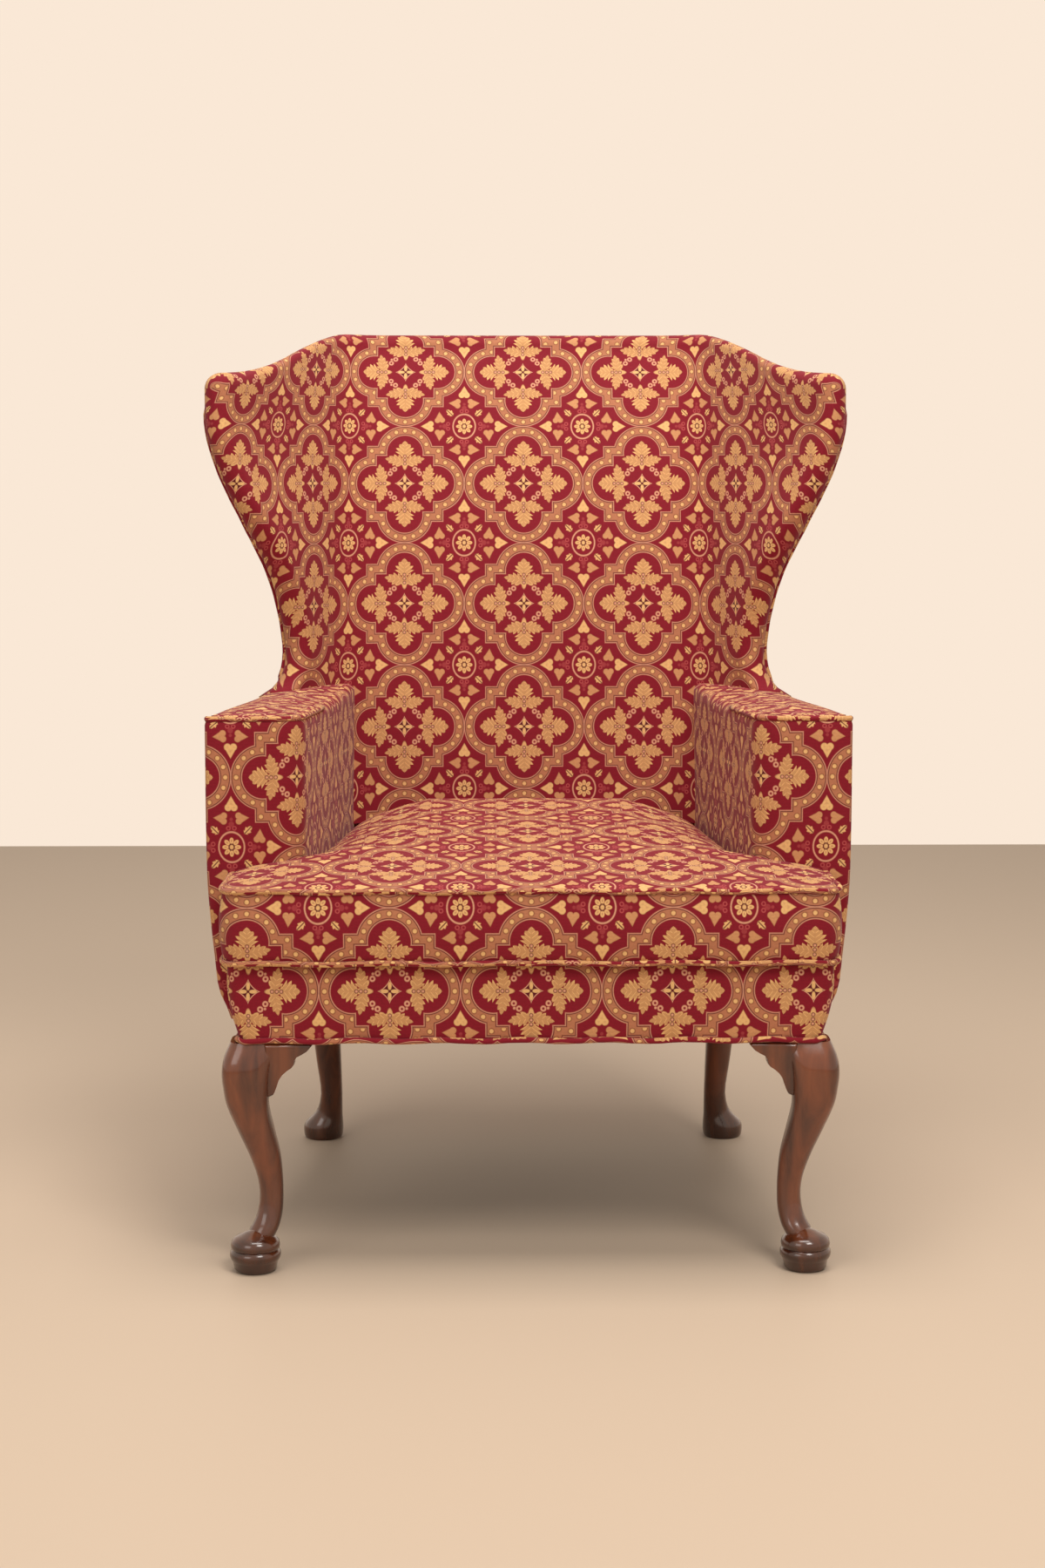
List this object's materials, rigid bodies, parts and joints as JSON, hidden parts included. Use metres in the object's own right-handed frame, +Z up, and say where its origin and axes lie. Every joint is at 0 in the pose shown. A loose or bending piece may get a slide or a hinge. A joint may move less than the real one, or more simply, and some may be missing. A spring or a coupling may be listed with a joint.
{
  "type": "wingback armchair",
  "caption": "Upholstered wingback armchair with boxed arms, a loose T-shaped seat cushion, cabriole front legs with pad feet and raked back legs.",
  "frame": {"origin": "on the floor under the middle of the chair", "axes": "+Z up, the front of the chair faces -Y, +X to the right of someone facing it"},
  "size_m": [0.7904, 0.758, 1.068],
  "materials": {
    "walnut": "polished red-brown walnut, darker in the hollows",
    "frame_wood": "planed hardwood, unfinished",
    "jacquard": "woven burgundy jacquard with a tan trellis of barbed quatrefoils",
    "welt": "the same jacquard over cord",
    "webbing": "jute webbing with a woven edge line",
    "black_cloth": "thin black bottoming cloth",
    "plain_cloth": "plain cotton deck cloth over padding",
    "core": "cushion core in plain ticking",
    "bolt_steel": "zinc-plated bolts and washers",
    "zip_tape": "burgundy zip tape with its teeth",
    "zip_metal": "brass slider and pull"
  },
  "bodies": {
    "chair": {"front_leg_left": "walnut", "front_leg_right": "walnut", "back_post_left": "walnut", "back_post_right": "walnut", "front_knee_block_left": "walnut", "front_knee_block_right": "walnut", "side_knee_block_left": "walnut", "side_knee_block_right": "walnut", "front_rail": "frame_wood", "back_rail": "frame_wood", "crest_rail": "frame_wood", "back_tack_rail": "frame_wood", "side_rail_left": "frame_wood", "side_rail_right": "frame_wood", "front_corner_block_left": "frame_wood", "front_corner_block_right": "frame_wood", "rear_corner_block_left": "frame_wood", "rear_corner_block_right": "frame_wood", "arm_stump_left": "frame_wood", "arm_stump_right": "frame_wood", "arm_rail_left": "frame_wood", "arm_rail_right": "frame_wood", "arm_tack_rail_left": "frame_wood", "arm_tack_rail_right": "frame_wood", "wing_post_left": "frame_wood", "wing_post_right": "frame_wood", "wing_rail_left": "frame_wood", "wing_rail_right": "frame_wood", "inside_back": "jacquard", "outside_back": "jacquard", "front_border": "jacquard", "wing_pad_left": "jacquard", "wing_pad_right": "jacquard", "arm_cover_left": "jacquard", "arm_cover_right": "jacquard", "outside_arm_left": "jacquard", "outside_arm_right": "jacquard", "outside_wing_left": "jacquard", "outside_wing_right": "jacquard", "back_welt": "welt", "border_welt": "welt", "arm_welt_left": "welt", "arm_welt_right": "welt", "wing_welt_left": "welt", "wing_welt_right": "welt", "seat_webbing": "webbing", "back_webbing": "webbing", "dust_cover": "black_cloth", "deck_pad": "plain_cloth", "deck_cloth": "plain_cloth", "corner_bolts": "bolt_steel"},
    "cushion": {"cushion_cover": "jacquard", "cushion_core": "core", "cushion_welt_top": "welt", "cushion_welt_bottom": "welt", "cushion_zip": "zip_tape"},
    "slider": {"zip_slider": "zip_metal"}
  },
  "joints": [
    {"name": "cushion_lift", "type": "slide", "parent": "chair", "child": "cushion", "axis": [0, 0, 1], "range_m": [0, 0.3]},
    {"name": "zip_slide", "type": "slide", "parent": "cushion", "child": "slider", "axis": [1, 0, 0], "range_m": [-0.32, 0]}
  ]
}
